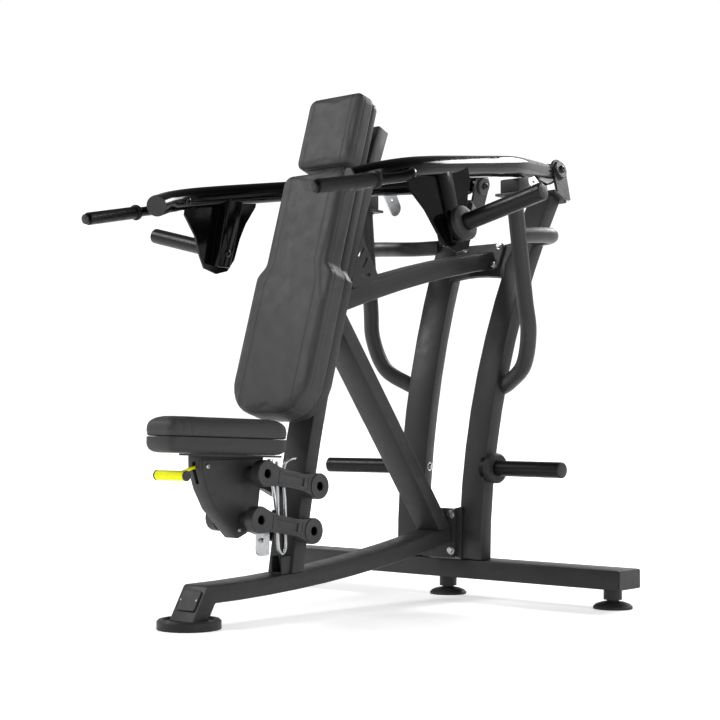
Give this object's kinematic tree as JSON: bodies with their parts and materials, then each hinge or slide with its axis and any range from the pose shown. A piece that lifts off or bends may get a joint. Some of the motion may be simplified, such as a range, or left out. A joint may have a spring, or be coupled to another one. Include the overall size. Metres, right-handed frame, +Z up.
{
  "type": "plate-loaded shoulder press machine",
  "caption": "Seated overhead press: curved posts, two converging lever arms with weight horns, swivelling handles, back and head pads, and a seat on parallel links.",
  "frame": {"origin": "on the floor at the centre of the machine's footprint", "axes": "+Z up, -Y the way the seated user faces, +X the user's left; X = 0 is the machine's centre plane"},
  "size_m": [1.5808, 1.671, 1.5639],
  "materials": {
    "frame_paint": "matte charcoal powder coat",
    "gloss_paint": "gloss black",
    "cast_paint": "satin black",
    "leatherette": "black upholstery leather",
    "moulded_plastic": "fine grained",
    "rubber": "matte",
    "zinc": "zinc plated",
    "polished_steel": "polished",
    "yellow_plastic": "signal yellow"
  },
  "bodies": {
    "frame": {"back_board": "moulded_plastic", "back_pad": "leatherette", "badge_plate": "moulded_plastic", "base_beam": "frame_paint", "crossbeam": "frame_paint", "diagonal_brace": "frame_paint", "front_foot": "rubber", "guard_frame_left": "frame_paint", "guard_frame_right": "frame_paint", "head_board": "moulded_plastic", "head_pad": "leatherette", "levelling_foot_centre": "rubber", "levelling_foot_left": "rubber", "levelling_foot_right": "rubber", "lower_joint_plate": "frame_paint", "pivot_bracket_left": "frame_paint", "pivot_bracket_right": "frame_paint", "pivot_shaft_left": "cast_paint", "pivot_shaft_right": "cast_paint", "post_left": "frame_paint", "post_right": "frame_paint", "seat_mast": "frame_paint", "spring_bracket": "frame_paint", "stop_bumper_left": "rubber", "stop_bumper_right": "rubber", "storage_collar_left": "rubber", "storage_collar_right": "rubber", "storage_horn_left": "frame_paint", "storage_horn_right": "frame_paint", "upper_beam": "frame_paint", "upper_joint_plate": "frame_paint"},
    "left_arm": {"arm_left": "gloss_paint", "arm_cap_left": "moulded_plastic", "arm_gusset_left": "gloss_paint", "arm_horn_left": "gloss_paint", "arm_collar_left": "rubber", "stop_plate_left": "zinc"},
    "right_arm": {"arm_right": "gloss_paint", "arm_cap_right": "moulded_plastic", "arm_gusset_right": "gloss_paint", "arm_horn_right": "gloss_paint", "arm_collar_right": "rubber", "stop_plate_right": "zinc"},
    "left_handle": {"handle_left": "gloss_paint", "grip_left": "rubber"},
    "right_handle": {"handle_right": "gloss_paint", "grip_right": "rubber"},
    "lower_links": {"lower_link_left": "cast_paint", "lower_link_right": "cast_paint"},
    "upper_links": {"upper_link_left": "cast_paint", "upper_link_right": "cast_paint"},
    "seat": {"seat_carriage": "moulded_plastic", "seat_base": "moulded_plastic", "seat_cushion": "leatherette", "lock_plate": "zinc"},
    "strut_cylinder": {"gas_spring_body": "moulded_plastic"},
    "strut_rod": {"gas_spring_rod": "polished_steel"},
    "release_lever": {"release_lever": "zinc", "lever_grip": "yellow_plastic"}
  },
  "joints": [
    {"name": "left_arm_press", "type": "hinge", "parent": "frame", "child": "left_arm", "pos_m": [0.163, 0.797, 1.414], "axis": [-0.972, 0, -0.2351], "range_deg": [0, 35]},
    {"name": "left_handle_swivel", "type": "hinge", "parent": "left_arm", "child": "left_handle", "pos_m": [0.46148, -0.353, 1.2434], "axis": [-0.972, 0, -0.2351], "range_deg": [-18, 22]},
    {"name": "right_arm_press", "type": "hinge", "parent": "frame", "child": "right_arm", "pos_m": [-0.163, 0.797, 1.414], "axis": [-0.972, 0, 0.2351], "range_deg": [0, 35]},
    {"name": "right_handle_swivel", "type": "hinge", "parent": "right_arm", "child": "right_handle", "pos_m": [-0.46148, -0.353, 1.2434], "axis": [-0.972, 0, 0.2351], "range_deg": [-17, 23]},
    {"name": "seat_height", "type": "hinge", "parent": "frame", "child": "lower_links", "pos_m": [0, -0.314, 0.249], "axis": [-1, 0, 0], "range_deg": [-13, 15]},
    {"name": "upper_link_turn", "type": "hinge", "parent": "frame", "child": "upper_links", "pos_m": [0, -0.289, 0.378], "axis": [-1, 0, 0], "range_deg": [-13, 15]},
    {"name": "seat_level", "type": "hinge", "parent": "lower_links", "child": "seat", "pos_m": [0, -0.53192, 0.29136], "axis": [-1, 0, 0], "range_deg": [-15, 13]},
    {"name": "strut_lean", "type": "hinge", "parent": "frame", "child": "strut_cylinder", "pos_m": [0.02, -0.371, 0.163], "axis": [-1, 0, 0], "range_deg": [-3.61, 4.15]},
    {"name": "strut_stroke", "type": "slide", "parent": "strut_cylinder", "child": "strut_rod", "axis": [0, -0.1716, 0.9852], "range_m": [-0.047, 0.0542]},
    {"name": "lever_lift", "type": "hinge", "parent": "seat", "child": "release_lever", "pos_m": [0, -0.675, 0.443], "axis": [-1, 0, 0], "range_deg": [0, 18], "stiffness_Nm_per_rad": 2, "springref_deg": -14.32}
  ],
  "couplings": [
    {"joint": "upper_link_turn", "follows": "seat_height", "ratio": 1},
    {"joint": "seat_level", "follows": "seat_height", "ratio": -1},
    {"joint": "strut_lean", "follows": "seat_height", "ratio": 0.27},
    {"joint": "strut_stroke", "follows": "seat_height", "m_per_rad": 0.205}
  ]
}
